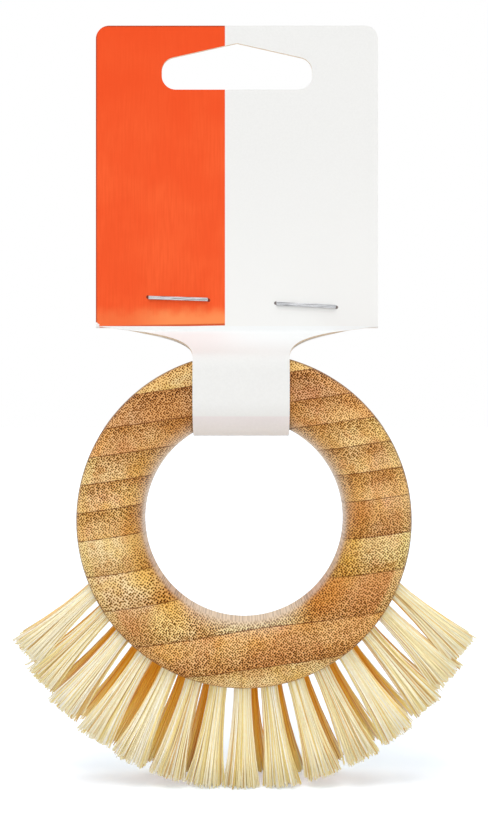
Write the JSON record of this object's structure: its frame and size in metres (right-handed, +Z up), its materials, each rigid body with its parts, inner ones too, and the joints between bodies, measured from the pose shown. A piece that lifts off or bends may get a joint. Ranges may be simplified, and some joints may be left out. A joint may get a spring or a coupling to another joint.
{
  "type": "vegetable brush",
  "caption": "Vegetable brush with a glued bamboo ring handle, bristle tufts fanned from its lower rim and a stapled card hang tag looped round its top.",
  "frame": {"origin": "on the floor under the middle of the brush, which stands on its bristle tips", "axes": "+Z up from the bristles to the tag, -Y the front face of the ring, +X to its right"},
  "size_m": [0.0945, 0.0206, 0.1601],
  "materials": {
    "bamboo_light": "satin",
    "bamboo_tan": "satin",
    "bamboo_brown": "satin",
    "bristle": "matt",
    "anchor_wire": "plain",
    "tag_card": "matt",
    "tag_print": "matt",
    "staple_wire": "bright"
  },
  "bodies": {
    "brush": {"bamboo_strip_01": "bamboo_light", "bamboo_strip_02": "bamboo_brown", "bamboo_strip_03": "bamboo_tan", "bamboo_strip_04_left": "bamboo_tan", "bamboo_strip_04_right": "bamboo_tan", "bamboo_strip_05_left": "bamboo_light", "bamboo_strip_05_right": "bamboo_light", "bamboo_strip_06_left": "bamboo_brown", "bamboo_strip_06_right": "bamboo_brown", "bamboo_strip_07_left": "bamboo_light", "bamboo_strip_07_right": "bamboo_light", "bamboo_strip_08_left": "bamboo_light", "bamboo_strip_08_right": "bamboo_light", "bamboo_strip_09": "bamboo_brown", "bamboo_strip_10": "bamboo_brown", "bamboo_strip_11_left": "bamboo_tan", "bamboo_strip_11_right": "bamboo_tan", "front_tuft_01": "bristle", "front_tuft_02": "bristle", "front_tuft_03": "bristle", "front_tuft_04": "bristle", "front_tuft_05": "bristle", "front_tuft_06": "bristle", "front_tuft_07": "bristle", "front_tuft_08": "bristle", "front_tuft_09": "bristle", "front_tuft_10": "bristle", "front_tuft_11": "bristle", "front_tuft_12": "bristle", "front_tuft_13": "bristle", "front_tuft_14": "bristle", "front_tuft_15": "bristle", "front_row_anchors": "anchor_wire", "back_tuft_01": "bristle", "back_tuft_02": "bristle", "back_tuft_03": "bristle", "back_tuft_04": "bristle", "back_tuft_05": "bristle", "back_tuft_06": "bristle", "back_tuft_07": "bristle", "back_tuft_08": "bristle", "back_tuft_09": "bristle", "back_tuft_10": "bristle", "back_tuft_11": "bristle", "back_tuft_12": "bristle", "back_tuft_13": "bristle", "back_tuft_14": "bristle", "back_tuft_15": "bristle", "back_row_anchors": "anchor_wire"},
    "tag_loop": {"tag_strap": "tag_card"},
    "tag_panels": {"tag_front_panel": "tag_print", "tag_back_panel": "tag_card", "left_staple": "staple_wire", "right_staple": "staple_wire"}
  },
  "joints": [
    {"name": "tag_round_ring", "type": "hinge", "parent": "brush", "child": "tag_loop", "pos_m": [0, 0, 0.05534], "axis": [0, 1, 0], "range_deg": [-70, 70]},
    {"name": "tag_fold", "type": "hinge", "parent": "tag_loop", "child": "tag_panels", "pos_m": [0, 0, 0.09624], "axis": [1, 0, 0], "range_deg": [-45, 45]}
  ]
}
